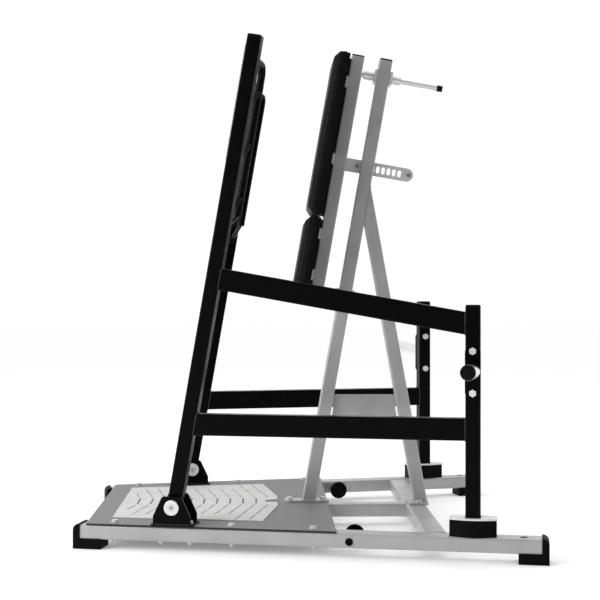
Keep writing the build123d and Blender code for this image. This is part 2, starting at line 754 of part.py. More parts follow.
def make_carriage():
    """The carriage tube, its guide rods and the slotted selector plate."""
    offset_x = CARRIAGE_OFFSET
    carriage = Pos(offset_x, 0, 0) * tube(CARRIAGE_TUBE, CARRIAGE_TUBE, CARRIAGE_LOW, CARRIAGE_HIGH)
    add("carriage_tube", COLUMN_FRAME * carriage)
    rods = []
    caps = []
    rear_face = offset_x + CARRIAGE_TUBE / 2
    for height in ROD_HEIGHTS:
        rods.append(COLUMN_FRAME * rod((rear_face, 0, height), (ROD_REAR, 0, height), ROD_DIA))
        cap = rod((ROD_REAR, 0, height), (ROD_REAR + 22, 0, height), 24.0)
        caps.append(COLUMN_FRAME * fillet(cap.edges(), 2.0))
    add("guide_rods", group(rods))
    for height, side in ((CARRIAGE_HIGH, 1), (CARRIAGE_LOW, -1)):
        plug = extrude(RectangleRounded(CARRIAGE_TUBE - 0.6, CARRIAGE_TUBE - 0.6, TUBE_CORNER), 6.0)
        plug = fillet(plug.edges().group_by(Axis.Z)[-1], 4.0)
        turn = 0 if side > 0 else 180
        caps.append(COLUMN_FRAME * Location((offset_x, 0, height), (turn, 0, 0)) * plug)
    add("carriage_caps", group(caps))

    half = SELECTOR_DEPTH / 2
    outline = Pos((rear_face + SELECTOR_REAR - half) / 2, 0) * Rectangle(
        SELECTOR_REAR - half - rear_face, SELECTOR_DEPTH
    )
    outline += Pos(SELECTOR_REAR - half, 0) * Circle(half)
    for step in range(SLOT_COUNT):
        slot = Rot(0, 0, 90) * SlotOverall(SLOT_TALL, SLOT_WIDE)
        outline -= Pos(step * SLOT_STEP, 0) * slot
    plate = upright_profile(outline, SELECTOR_THICK / 2, SELECTOR_THICK)
    plate = Pos(0, 0, SELECTOR_HEIGHT) * plate
    screws = []
    for x in (-40.0, 163.0):
        reach = SELECTOR_THICK / 2
        shank = rod((x, -reach, SELECTOR_HEIGHT), (x, reach, SELECTOR_HEIGHT), 8.0)
        head = rod((x, -reach - 5, SELECTOR_HEIGHT), (x, -reach, SELECTOR_HEIGHT), 15.0)
        nut = rod((x, reach, SELECTOR_HEIGHT), (x, reach + 5, SELECTOR_HEIGHT), 15.0)
        screws.append(shank + head + nut)
    for drilled in screws:
        plate -= drilled
    add("selector_plate", COLUMN_FRAME * plate)
    add("selector_screws", group(COLUMN_FRAME * screw for screw in screws))


def make_selector_pin():
    """The selector pin and its knob, drawn back and parked."""
    height = SELECTOR_HEIGHT
    knob_start = PIN_HOUSING_END + REST_GAP + PIN_TRAVEL
    shank = rod((0, PIN_TIP, height), (0, knob_start + 2, height), SELECTOR_PIN_DIA)
    shank = chamfer(shank.edges().group_by(Axis.Y)[0], 2.0)
    neck = rod((0, knob_start, height), (0, knob_start + 12, height), 20.0)
    knob = rod((0, knob_start + 10, height), (0, knob_start + 30, height), 34.0)
    knob = fillet(knob.edges(), 6.0) + neck
    knob -= shank
    add("selector_pin", COLUMN_FRAME * shank)
    add("selector_knob", COLUMN_FRAME * knob)


def make_pads():
    """Pad boards, cushions and the brackets that hold them on the carriage tube."""
    boards = []
    board_front = PAD_BACK - PAD_BOARD_THICK
    for name, (low, high) in (("main_pad", MAIN_PAD), ("lower_pad", LOWER_PAD)):
        inset = 6.0
        boards.append(
            COLUMN_FRAME * block(
                (board_front, PAD_BACK),
                (-PAD_HALF_WIDTH + inset, PAD_HALF_WIDTH - inset),
                (low + inset, high - inset),
            )
        )
        cushion = block(
            (PAD_FRONT, board_front), (-PAD_HALF_WIDTH, PAD_HALF_WIDTH), (low, high)
        )
        cushion = chamfer(cushion.faces().sort_by(Axis.X)[0].edges(), PAD_CHAMFER)
        add(name, COLUMN_FRAME * cushion)
    add("pad_boards", group(boards))
    brackets = []
    tube_front = CARRIAGE_OFFSET - CARRIAGE_TUBE / 2
    for height in PAD_BRACKETS:
        plate = block((PAD_BACK, tube_front), (-55.0, 55.0), (height - 20, height + 20))
        brackets.append(COLUMN_FRAME * plate)
    add("pad_brackets", group(brackets))


def main():
    make_rails()
    make_feet()
    make_crossbars()
    make_foot_plate()
    make_tread()
    make_brackets()
    make_arm_tubes()
    make_post_and_peg()
    make_handles()
    make_arm_trim()
    make_bumpers()
    make_band_pegs()
    make_column()
    make_bolts()
    make_guides()
    make_carriage()
    make_selector_pin()
    make_pads()
    os.makedirs("parts", exist_ok=True)
    for name, shape in parts.items():
        export_step(shape, f"parts/{name}.step")
    print(len(parts), "nodes")


main()
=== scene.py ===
import math

import bmesh
import bpy
import numpy as np
from mathutils import Matrix, Vector
from mathutils.bvhtree import BVHTree


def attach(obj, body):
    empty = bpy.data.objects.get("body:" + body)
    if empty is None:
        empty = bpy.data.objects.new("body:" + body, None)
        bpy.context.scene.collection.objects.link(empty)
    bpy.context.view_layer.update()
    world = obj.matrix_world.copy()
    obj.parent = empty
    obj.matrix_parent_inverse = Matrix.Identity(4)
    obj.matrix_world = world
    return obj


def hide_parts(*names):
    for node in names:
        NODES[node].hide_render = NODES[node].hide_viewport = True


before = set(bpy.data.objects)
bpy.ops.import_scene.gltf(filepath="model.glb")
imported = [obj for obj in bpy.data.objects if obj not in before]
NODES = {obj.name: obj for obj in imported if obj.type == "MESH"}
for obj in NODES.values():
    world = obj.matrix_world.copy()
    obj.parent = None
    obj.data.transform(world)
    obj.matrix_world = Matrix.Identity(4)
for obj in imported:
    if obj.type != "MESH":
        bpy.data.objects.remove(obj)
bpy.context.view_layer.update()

# Metres and radians, with the same places and sizes as the CAD part.
LEAN = math.radians(10.0)
BRACE_LEAN = math.radians(10.2)
SPLAY = math.radians(11.7)
PIVOT = Vector((-0.452, 0.482, 0.153))
TUBE = 0.050
STRUT_DEPTH = 0.075
UPPER_STRUT_UP = 0.805
LOWER_STRUT_Z = 0.4385
POST_U = 1.030
FLANGE_TOP = 0.1453
PLATE_TOP = 0.089
RAIL_TOP = 0.083
RAIL_MIDDLE = 0.058
RAIL_HALF_WIDTH = 0.040
CENTRE_RAIL_WIDTH = 0.060
CROSSBAR_X = (0.440, -0.690)
CROSSBAR_WIDTH = 0.075
BASE_PLATE_THICK = 0.008
BRACKET_THICK = 0.006
EAR_FACES = (-0.0475, -0.0395, 0.0395, 0.0475)
EAR_WELD_REACH = 0.062
HUB_RADIUS = 0.0225
HANDLE_TOP = 1.576
LINK_START = 0.977
HANDLE_RADIUS = 0.014
GRIP_BAR_RADIUS = 0.0105
LINK_RADIUS = 0.0085
GRIP_HEIGHTS = (1.424, 1.234, 1.044)
COLUMN_X = 0.028
COLUMN = Matrix.Translation((COLUMN_X, 0, PLATE_TOP)) @ Matrix.Rotation(LEAN, 4, "Y")
BRACE_X = 0.462
GUSSET_HALF = 0.004
GUSSET_WELD = (0.458, 0.497)
PAD_BACK = -0.155
PAD_FRONT = -0.202
PAD_SEAM = -0.182
PAD_SHRINK = 0.0015
PAD_SWELL = 0.0022
PAD_CROWN = 0.0018
SEAM_PULL = 0.0026
PIPING_RADIUS = 0.0019
STITCH_GAP = 0.006
STITCH_PITCH = 0.0052
BOARD_BACK = -0.143
CARRIAGE_FRONT = -0.134
PAD_BRACKETS = (0.863, 1.023, 1.315, 1.614)
BRACKET_HALF = 0.020
# Sizes of the dark strips that stand in as painted shade between the pads and the carriage tube.
SHADE_STRIP_HALF_WIDTH = 0.023
SHADE_STRIP_ROUND = 0.003
SHADE_STRIP_BITE = 0.0004
SHADE_STRIP_INSET = 0.006
PIN_RINGS = ((0.0120, 0.0007), (0.0065, 0.0009), (0.0020, 0.0014))


# ---------------------------------------------------------------- node helpers

class Nodes:
    """Builds one material's node tree with short calls."""

    def __init__(self, name):
        self.material = bpy.data.materials.new(name)
        self.material.use_nodes = True
        self.tree = self.material.node_tree
        self.shader = self.tree.nodes["Principled BSDF"]
        self.place = self.new("ShaderNodeTexCoord").outputs["Object"]

    def new(self, kind, **settings):
        node = self.tree.nodes.new(kind)
        for key, value in settings.items():
            setattr(node, key, value)
        return node

    def link(self, output, target):
        self.tree.links.new(output, target)

    def noise(self, scale, detail=3.0, roughness=0.5, stretch=None):
        node = self.new("ShaderNodeTexNoise")
        node.inputs["Scale"].default_value = scale
        node.inputs["Detail"].default_value = detail
        node.inputs["Roughness"].default_value = roughness
        place = self.place
        if stretch is not None:
            mapping = self.new("ShaderNodeMapping")
            mapping.inputs["Scale"].default_value = stretch
            self.link(place, mapping.inputs["Vector"])
            place = mapping.outputs["Vector"]
        self.link(place, node.inputs["Vector"])
        return node.outputs["Fac"]

    def cells(self, scale, feature="F1"):
        node = self.new("ShaderNodeTexVoronoi", feature=feature)
        node.inputs["Scale"].default_value = scale
        self.link(self.place, node.inputs["Vector"])
        return node.outputs["Distance"]

    def span(self, value, low, high, to_low, to_high):
        node = self.new("ShaderNodeMapRange")
        self.link(value, node.inputs["Value"])
        node.inputs["From Min"].default_value = low
        node.inputs["From Max"].default_value = high
        node.inputs["To Min"].default_value = to_low
        node.inputs["To Max"].default_value = to_high
        return node.outputs["Result"]

    def times(self, first, second):
        node = self.new("ShaderNodeMath", operation="MULTIPLY")
        for socket, value in zip(node.inputs, (first, second)):
            if isinstance(value, (int, float)):
                socket.default_value = value
            else:
                self.link(value, socket)
        return node.outputs["Value"]

    def mix(self, share, first, second):
        node = self.new("ShaderNodeMix", data_type="RGBA")
        self.link(share, node.inputs["Factor"])
        for socket, value in ((node.inputs["A"], first), (node.inputs["B"], second)):
            if isinstance(value, tuple):
                socket.default_value = (*value, 1.0)
            else:
                self.link(value, socket)
        return node.outputs["Result"]

    def bump(self, height, distance, strength, normal=None):
        node = self.new("ShaderNodeBump")
        node.inputs["Strength"].default_value = strength
        node.inputs["Distance"].default_value = distance
        self.link(height, node.inputs["Height"])
        if normal is not None:
            self.link(normal, node.inputs["Normal"])
        return node.outputs["Normal"]

    def rounded(self, radius=0.0012):
        """A normal with softened edges, and a mask that is 1 along those edges."""
        bevel = self.new("ShaderNodeBevel")
        bevel.samples = 4
        bevel.inputs["Radius"].default_value = radius
        flat = self.new("ShaderNodeNewGeometry").outputs["Normal"]
        dot = self.new("ShaderNodeVectorMath", operation="DOT_PRODUCT")
        self.link(bevel.outputs["Normal"], dot.inputs[0])
        self.link(flat, dot.inputs[1])
        return bevel.outputs["Normal"], self.span(dot.outputs["Value"], 0.995, 0.90, 0.0, 1.0)

    def finish(self, colour, roughness, normal, metallic=0.0, **sockets):
        self.link(colour, self.shader.inputs["Base Color"])
        self.link(roughness, self.shader.inputs["Roughness"])
        self.link(normal, self.shader.inputs["Normal"])
        self.shader.inputs["Metallic"].default_value = metallic
        for name, value in sockets.items():
            self.shader.inputs[name.replace("_", " ")].default_value = value
        return self.material


def powder_coat(name, base, worn, rough, metallic=0.0, wear=0.5, gloss=0.5):
    """Sprayed powder coat: orange peel, faint cloudiness, and edges rubbed lighter."""
    n = Nodes(name)
    normal, edge = n.rounded()
    cloudy = n.noise(7.0, 4.0)
    fleck = n.noise(1400.0, 2.0)
    darker = tuple(0.82 * c for c in base)
    colour = n.mix(n.span(cloudy, 0.3, 0.7, 0.0, 1.0), darker, base)
    lighter = tuple(min(1.0, 1.25 * c) for c in base)
    colour = n.mix(n.span(fleck, 0.55, 0.75, 0.0, 0.6), colour, lighter)
    scuffs = n.span(n.noise(45.0, 5.0, 0.7), 0.45, 0.70, 0.0, wear)
    colour = n.mix(n.times(edge, scuffs), colour, worn)
    roughness = n.span(n.noise(18.0, 4.0), 0.3, 0.7, rough - 0.05, rough + 0.07)
    peel = n.noise(900.0, 2.0, 0.4)
    return n.finish(
        colour, roughness, n.bump(peel, 0.00012, 0.6, normal), metallic, Specular_IOR_Level=gloss
    )


def plated(name, base, rough, brushed, metallic=1.0, marks=0.5):
    """Plated steel: fine drawn lines, faint handling marks and a soft tone change."""
    n = Nodes(name)
    normal, _ = n.rounded(0.0008)
    tone = n.noise(12.0, 3.0)
    darker = tuple(0.86 * c for c in base)
    colour = n.mix(n.span(tone, 0.3, 0.7, 0.0, 1.0), darker, base)
    handled = n.noise(60.0, 5.0, 0.65)
    colour = n.mix(n.span(handled, 0.52, 0.75, 0.0, marks), colour, tuple(0.7 * c for c in base))
    lines = n.noise(900.0, 2.0, 0.5, brushed)
    roughness = n.span(handled, 0.3, 0.7, rough * 0.8, rough * 1.3)
    return n.finish(colour, roughness, n.bump(lines, 0.00005, 0.5, normal), metallic)


def moulded(name, base, dusty, rough, grain, depth, gloss=0.12):
    """Moulded rubber or plastic: fine grain, and dust in patches."""
    n = Nodes(name)
    normal, edge = n.rounded(0.0015)
    patch = n.span(n.noise(14.0, 5.0, 0.6), 0.45, 0.75, 0.0, 0.3)
    colour = n.mix(patch, base, dusty)
    colour = n.mix(n.times(edge, 0.35), colour, dusty)
    roughness = n.span(n.noise(25.0, 4.0), 0.3, 0.7, rough - 0.06, rough + 0.06)
    skin = n.cells(grain)
    return n.finish(
        colour, roughness, n.bump(skin, depth, 0.5, normal), Specular_IOR_Level=gloss
    )


def make_plate_coat():
    """The foot plate: textured grey top, with bare black edges and underside."""
    n = Nodes("plate_coat")
    normal, _ = n.rounded(0.0008)
    facing = n.new("ShaderNodeSeparateXYZ")
    n.link(n.new("ShaderNodeNewGeometry").outputs["Normal"], facing.inputs[0])
    top = n.span(facing.outputs["Z"], 0.6, 0.8, 0.0, 1.0)
    scuffed = n.noise(9.0, 6.0, 0.65)
    fleck = n.noise(700.0, 2.0)
    grey = n.mix(n.span(scuffed, 0.3, 0.72, 0.0, 1.0), (0.155, 0.155, 0.158), (0.205, 0.205, 0.208))
    grey = n.mix(n.span(fleck, 0.5, 0.72, 0.0, 0.5), grey, (0.29, 0.29, 0.292))
    colour = n.mix(top, (0.006, 0.006, 0.0065), grey)
    roughness = n.span(scuffed, 0.3, 0.7, 0.50, 0.64)
    grit = n.cells(520.0)
    return n.finish(colour, roughness, n.bump(grit, 0.00035, 0.5, normal))


def make_tread():
    """The anti-slip insert: pale, with fine grit, scuffed where shoes stand."""
    n = Nodes("tread")
    normal, _ = n.rounded(0.0008)
    scuffed = n.noise(11.0, 6.0, 0.7)
    drag = n.noise(30.0, 4.0, 0.6, (1.0, 6.0, 1.0))
    pale = n.mix(n.span(scuffed, 0.35, 0.75, 0.0, 1.0), (0.66, 0.66, 0.655), (0.56, 0.56, 0.555))
    colour = n.mix(n.span(drag, 0.62, 0.80, 0.0, 0.35), pale, (0.36, 0.36, 0.355))
    grit = n.noise(1500.0, 2.0, 0.6)
    roughness = n.span(scuffed, 0.3, 0.7, 0.55, 0.72)
    return n.finish(colour, roughness, n.bump(grit, 0.00030, 0.7, normal))


def make_vinyl():
    """Leather-grain vinyl: pebbled cells, fine creases and a slight sheen where it is rubbed."""
    n = Nodes("vinyl")
    pebble = n.cells(420.0, "SMOOTH_F1")
    fine = n.cells(1100.0)
    crease = n.cells(95.0, "DISTANCE_TO_EDGE")
    tone = n.noise(8.0, 5.0, 0.6)
    colour = n.mix(n.span(tone, 0.3, 0.7, 0.0, 1.0), (0.0020, 0.0020, 0.0022), (0.0034, 0.0034, 0.0037))
    colour = n.mix(n.span(pebble, 0.0, 0.5, 0.35, 0.0), colour, (0.009, 0.009, 0.0095))
    roughness = n.span(tone, 0.3, 0.7, 0.42, 0.54)
    normal = n.bump(n.span(crease, 0.0, 0.10, 0.0, 1.0), 0.00025, 0.25)
    normal = n.bump(pebble, 0.0007, 0.55, normal)
    normal = n.bump(fine, 0.0002, 0.4, normal)
    return n.finish(
        colour, roughness, normal,
        Specular_IOR_Level=0.09, Sheen_Weight=0.01, Sheen_Roughness=0.5,
    )


def make_thread():
    n = Nodes("thread")
    tone = n.noise(300.0, 3.0)
    colour = n.mix(tone, (0.012, 0.012, 0.013), (0.030, 0.030, 0.032))
    return n.finish(colour, n.span(tone, 0.3, 0.7, 0.6, 0.75), n.bump(tone, 0.0002, 0.5))


def make_weld(name, base, rough, metallic):
    """A painted weld bead, a little rougher than the tube beside it."""
    n = Nodes(name)
    spatter = n.noise(350.0, 4.0, 0.6)
    colour = n.mix(n.span(spatter, 0.3, 0.7, 0.0, 1.0), tuple(0.7 * c for c in base), base)
    roughness = n.span(spatter, 0.3, 0.7, rough, rough + 0.15)
    return n.finish(colour, roughness, n.bump(spatter, 0.0003, 0.5), metallic)


BLACK = (0.0011, 0.0011, 0.0012)
SILVER = (0.46, 0.46, 0.465)
MATERIALS = {
    "black_coat": powder_coat("black_coat", BLACK, (0.030, 0.030, 0.031), 0.30, wear=0.4, gloss=0.06),
    "silver_coat": powder_coat("silver_coat", SILVER, (0.64, 0.64, 0.64), 0.36, 0.35),
    "pale_coat": powder_coat("pale_coat", (0.62, 0.62, 0.625), (0.74, 0.74, 0.74), 0.36, 0.2),
    "plate_coat": make_plate_coat(),
    "tread": make_tread(),
    "zinc": plated("zinc", (0.78, 0.78, 0.785), 0.32, (1.0, 1.0, 0.05), metallic=0.4),
    "dark_zinc": plated("dark_zinc", (0.26, 0.26, 0.265), 0.35, (1.0, 1.0, 0.05), metallic=0.4),
    "chrome": plated("chrome", (0.78, 0.78, 0.79), 0.13, (0.05, 1.0, 1.0), marks=0.2),
    "rubber": moulded(
        "rubber", (0.0016, 0.0016, 0.0018), (0.0060, 0.0060, 0.0062), 0.58, 900.0, 0.0003, gloss=0.07
    ),
    "black_plastic": moulded(
        "black_plastic", (0.0022, 0.0022, 0.0024), (0.0080, 0.0080, 0.0082), 0.42, 1300.0, 0.0002
    ),
    "nylon": moulded("nylon", (0.62, 0.61, 0.58), (0.45, 0.44, 0.41), 0.42, 1200.0, 0.0001, gloss=0.5),
    "vinyl": make_vinyl(),
    "thread": make_thread(),
    "weld_black": make_weld("weld_black", (0.006, 0.006, 0.0065), 0.40, 0.0),
    "weld_silver": make_weld("weld_silver", SILVER, 0.38, 0.35),
}


SHADES = {"selector_plate": "pale_coat", "selector_screws": "dark_zinc"}


def paint_cad_nodes():
    """Each CAD node gets the finish of its slot in the record, or its own shade of it."""
    for name, node in NODES.items():
        for slot in node.material_slots:
            slot.material = MATERIALS[SHADES.get(name, slot.material.name.split(".")[0])]


# ---------------------------------------------------------------- mesh helpers

def mesh_object(name, verts, faces, material, smooth=True):
    mesh = bpy.data.meshes.new(name)
    mesh.from_pydata([tuple(v) for v in verts], [], faces)
    mesh.update()
    for polygon in mesh.polygons:
        polygon.use_smooth = smooth
    mesh.materials.append(material)
    obj = bpy.data.objects.new(name, mesh)
    bpy.context.scene.collection.objects.link(obj)
    return obj


def swept(points, radius, sides, closed=True):
    """A tube along points, with one radius or a radius for each point."""
    points = [Vector(p) for p in points]
    count = len(points)
    radii = radius if hasattr(radius, "__len__") else [radius] * count
    verts = []
    faces = []
    first = points[1] - points[0]
    side = first.orthogonal().normalized()
    for i, point in enumerate(points):
        after = points[(i + 1) % count] if closed else points[min(i + 1, count - 1)]
        before = points[i - 1] if closed or i else points[0]
        along = (after - before).normalized()
        side = (side - along * side.dot(along)).normalized()
        up = along.cross(side)
        for k in range(sides):
            angle = 2 * math.pi * k / sides
            verts.append(point + radii[i] * (math.cos(angle) * side + math.sin(angle) * up))
    rings = count if closed else count - 1
    shift = 0
    if closed:
        last = verts[-sides:]
        gaps = [(last[0] - verts[k]).length for k in range(sides)]
        shift = gaps.index(min(gaps))
    for i in range(rings):
        j = (i + 1) % count
        turn = shift if j == 0 else 0
        for k in range(sides):
            m = (k + 1) % sides
            a, b = i * sides + k, i * sides + m
            c, d = j * sides + (m + turn) % sides, j * sides + (k + turn) % sides
            faces.append((a, b, c, d))
    if not closed:
        faces.append(tuple(reversed(range(sides))))
        faces.append(tuple(range((count - 1) * sides, count * sides)))
    return verts, faces


def joined(shapes):
    """Several vertex and face lists as one."""
    verts = []
    faces = []
    for more_verts, more_faces in shapes:
        base = len(verts)
        verts.extend(more_verts)
        faces.extend(tuple(base + i for i in face) for face in more_faces)
    return verts, faces


# ---------------------------------------------------------------- weld beads

def side_frame(side):
    """The side plane as a matrix: X rearwards along it, Y outwards, Z up."""
    x_axis = Vector((math.cos(SPLAY), side * math.sin(SPLAY), 0))
    y_axis = Vector((-math.sin(SPLAY), side * math.cos(SPLAY), 0))
    matrix = Matrix.Identity(4)
    matrix.col[0].xyz = x_axis
    matrix.col[1].xyz = y_axis
    matrix.col[2].xyz = (0, 0, 1)
    matrix.col[3].xyz = (PIVOT.x, side * PIVOT.y, 0)
    return matrix


def plane_at(centre, first, second):
    """A matrix whose X and Y axes are the two directions given, at the centre."""
    matrix = Matrix.Identity(4)
    matrix.col[0].xyz = Vector(first).normalized()
    matrix.col[1].xyz = Vector(second).normalized()
    matrix.col[2].xyz = Vector(first).cross(Vector(second)).normalized()
    matrix.col[3].xyz = Vector(centre)
    return matrix


def bead(points, radius=0.0024, closed=True):
    """A weld bead with overlapping ripples along a line."""
    spaced = [Vector(points[0])]
    ends = points[1:] + points[:1] if closed else points[1:]
    for end in ends:
        end = Vector(end)
        start = spaced[-1]
        steps = max(1, round((end - start).length / 0.0014))
        spaced.extend(start.lerp(end, (k + 1) / steps) for k in range(steps))
    if closed:
        spaced.pop()
    radii = []
    for i in range(len(spaced)):
        ripple = abs(math.sin(i * 1.05))
        wander = math.sin(i * 0.13) + math.sin(i * 0.071 + 1.0)
        radii.append(radius * (0.86 + 0.20 * ripple + 0.05 * wander))
    return swept(spaced, radii, 6, closed)


def ring(matrix, width, depth, corner=0.006):
    """A bead round a rounded rectangle in the matrix's XY plane."""
    points = []
    for cx, cy, start in ((1, 1, 0), (-1, 1, 90), (-1, -1, 180), (1, -1, 270)):
        for step in range(5):
            angle = math.radians(start + step * 22.5)
            x = cx * (width / 2 - corner) + corner * math.cos(angle)
            y = cy * (depth / 2 - corner) + corner * math.sin(angle)
            points.append(matrix @ Vector((x, y, 0)))
    return bead(points)


def circle(matrix, size, radius=0.0024):
    """A bead round a bar that meets the matrix's XY plane."""
    steps = 24
    turns = [2 * math.pi * k / steps for k in range(steps)]
    points = [matrix @ Vector((size * math.cos(a), size * math.sin(a), 0)) for a in turns]
    return bead(points, radius)


def arm_welds(side):
    """Beads where the tubes of one arm meet."""
    frame_matrix = side_frame(side)
    leaning = frame_matrix @ Matrix.Translation((0, 0, PIVOT.z)) @ Matrix.Rotation(LEAN, 4, "Y")
    rear = TUBE / 2
    along = 1 / math.cos(LEAN)
    beads = []
    place = plane_at((rear, 0, UPPER_STRUT_UP), (0, 0, 1), (0, 1, 0))
    beads.append(ring(leaning @ place, STRUT_DEPTH, TUBE))
    lower_up = ((LOWER_STRUT_Z - PIVOT.z) + rear * math.sin(LEAN)) / math.cos(LEAN)
    place = plane_at((rear, 0, lower_up), (0, 0, 1), (0, 1, 0))
    beads.append(ring(leaning @ place, STRUT_DEPTH * along, TUBE))
    start_u = UPPER_STRUT_UP * math.sin(LEAN)
    start_z = PIVOT.z + UPPER_STRUT_UP * math.cos(LEAN)
    face_u = POST_U - rear
    upper_z = start_z - (face_u - start_u) * math.tan(LEAN)
    for z, tall in ((upper_z, STRUT_DEPTH * along), (LOWER_STRUT_Z, STRUT_DEPTH)):
        place = plane_at((face_u, 0, z), (0, 0, 1), (0, 1, 0))
        beads.append(ring(frame_matrix @ place, tall, TUBE))
    place = plane_at((POST_U, 0, FLANGE_TOP), (1, 0, 0), (0, 1, 0))
    beads.append(ring(frame_matrix @ place, TUBE, TUBE))
    for face in (-rear, rear):
        place = plane_at((0, face, 0), (1, 0, 0), (0, 0, 1))
        beads.append(circle(leaning @ place, HUB_RADIUS))
    place = plane_at((0, -rear, HANDLE_TOP), (1, 0, 0), (0, 0, 1))
    beads.append(circle(leaning @ place, HANDLE_RADIUS, 0.0018))
    for height in GRIP_HEIGHTS:
        place = plane_at((0, -rear, height), (1, 0, 0), (0, 0, 1))
        beads.append(circle(leaning @ place, GRIP_BAR_RADIUS, 0.0018))
    place = plane_at((0, -rear, LINK_START), (1, 0, 0), (0, 0, 1))
    beads.append(circle(leaning @ place, LINK_RADIUS, 0.0018))
    return joined(beads)


def bracket_welds():
    """Beads along the feet of the clevis ears."""
    beads = []
    top = PLATE_TOP + BRACKET_THICK
    for side in (-1, 1):
        matrix = side_frame(side)
        for y in EAR_FACES:
            ends = [matrix @ Vector((u, y, top)) for u in (-EAR_WELD_REACH, EAR_WELD_REACH)]
            beads.append(bead(ends, 0.0020, closed=False))
    return joined(beads)


def base_welds():
    """Beads of the column, brace, gusset and crossbars."""
    beads = []
    foot = (COLUMN_X + BASE_PLATE_THICK * math.tan(LEAN), 0, PLATE_TOP + BASE_PLATE_THICK)
    beads.append(ring(plane_at(foot, (1, 0, 0), (0, 1, 0)), TUBE / math.cos(LEAN), TUBE))
    foot = (BRACE_X - BASE_PLATE_THICK * math.tan(BRACE_LEAN), 0, RAIL_TOP + BASE_PLATE_THICK)
    beads.append(ring(plane_at(foot, (1, 0, 0), (0, 1, 0)), TUBE / math.cos(BRACE_LEAN), TUBE))
    place, tall = brace_head()
    beads.append(ring(place, tall, TUBE))
    for side in (-1, 1):
        matrix = side_frame(side)
        for x in CROSSBAR_X:
            u = ((x - PIVOT.x) - RAIL_HALF_WIDTH * math.sin(SPLAY)) / math.cos(SPLAY)
            place = plane_at((u, -RAIL_HALF_WIDTH, RAIL_MIDDLE), (1, 0, 0), (0, 0, 1))
            beads.append(ring(matrix @ place, CROSSBAR_WIDTH / math.cos(SPLAY), TUBE, 0.007))
    rear, front = CROSSBAR_X
    for x in (rear - CROSSBAR_WIDTH / 2, front + CROSSBAR_WIDTH / 2):
        place = plane_at((x, 0, RAIL_MIDDLE), (0, 1, 0), (0, 0, 1))
        beads.append(ring(place, CENTRE_RAIL_WIDTH, TUBE, 0.007))
    for y in (-GUSSET_HALF, GUSSET_HALF):
        for ends in gusset_edges():
            beads.append(bead([Vector((x, y, z)) for x, z in ends], 0.0018, closed=False))
    return joined(beads)


def column_rear(z):
    return COLUMN_X + (z - PLATE_TOP) * math.tan(LEAN) + TUBE / 2 / math.cos(LEAN)


def brace_front(z):
    return BRACE_X - (z - RAIL_TOP) * math.tan(BRACE_LEAN) - TUBE / 2 / math.cos(BRACE_LEAN)


def gusset_edges():
    """The gusset's two slanted edges, as end points in X and Z."""
    column = [(column_rear(z), z) for z in GUSSET_WELD]
    brace = [(brace_front(z), z) for z in GUSSET_WELD]
    return column, brace


def brace_head():
    """Where the brace is cut by the column's rear face."""
    slope = math.tan(LEAN) + math.tan(BRACE_LEAN)
    gap = BRACE_X - column_rear(RAIL_TOP)
    z = RAIL_TOP + gap / slope
    centre = Vector((column_rear(z), 0, z))
    up = Vector((math.sin(LEAN), 0, math.cos(LEAN)))
    return plane_at(centre, up, (0, 1, 0)), TUBE / math.sin(LEAN + BRACE_LEAN)


def add_welds():
    for side, body in ((-1, "left_arm"), (1, "right_arm")):
        verts, faces = arm_welds(side)
        piece = mesh_object(body + "_welds", verts, faces, MATERIALS["weld_black"])
        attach(piece, body)
    verts, faces = bracket_welds()
    piece = mesh_object("bracket_welds", verts, faces, MATERIALS["weld_black"])
    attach(piece, "base")
    verts, faces = base_welds()
    piece = mesh_object("base_welds", verts, faces, MATERIALS["weld_silver"])
    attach(piece, "base")


# ---------------------------------------------------------------- rubber grips

END_ROUND = 0.0018
GROOVES = ((0.0060, 0.0078), (0.0094, 0.0112))
GROOVE_DEPTH = 0.0010
KNURL_START = 0.0120
KNURL_PITCH = 0.0085
KNURL_DEPTH = 0.0007


def grip_cut(edge, s, angle):
    """How deep the grip's surface lies below its full radius, at one point of it."""
    if edge < END_ROUND:
        return END_ROUND - math.sqrt(max(0.0, END_ROUND ** 2 - (END_ROUND - edge) ** 2))
    if any(low < edge < high for low, high in GROOVES):
        return GROOVE_DEPTH
    if edge > KNURL_START:
        turn = 2 * math.pi / KNURL_PITCH * s
        cross = max(math.cos(9 * angle + turn), math.cos(9 * angle - turn))
        return KNURL_DEPTH * max(0.0, (cross - 0.55) / 0.45)
    return 0.0


def grip_shape(start, end, radius):
    """A rubber grip with collars, grooves and a diamond pattern cut between them."""
    axis = (end - start).normalized()
    side = axis.orthogonal().normalized()
    up = axis.cross(side)
    length = (end - start).length
    around, along = 72, 96
    verts = []
    for i in range(along + 1):
        t = i / along
        s = t * length
        edge = min(s, length - s)
        for k in range(around):
            angle = 2 * math.pi * k / around
            r = radius - grip_cut(edge, s, angle)
            verts.append(start + axis * s + r * (math.cos(angle) * side + math.sin(angle) * up))
    faces = []
    for i in range(along):
        for k in range(around):
            m = (k + 1) % around
            a, b = i * around + k, i * around + m
            faces.append((a, b, b + around, a + around))
    faces.append(tuple(reversed(range(around))))
    faces.append(tuple(range(along * around, (along + 1) * around)))
    return verts, faces


def loose_parts(node):
    """The vertices of each separate solid in a CAD node."""
    work = bmesh.new()
    work.from_mesh(node.data)
    bmesh.ops.remove_doubles(work, verts=work.verts, dist=1e-5)
    left = set(work.verts)
    parts = []
    while left:
        stack = [left.pop()]
        part = []
        while stack:
            vert = stack.pop()
            part.append(vert.co.copy())
            for edge in vert.link_edges:
                other = edge.other_vert(vert)
                if other in left:
                    left.remove(other)
                    stack.append(other)
        parts.append(np.array(part))
    work.free()
    return parts


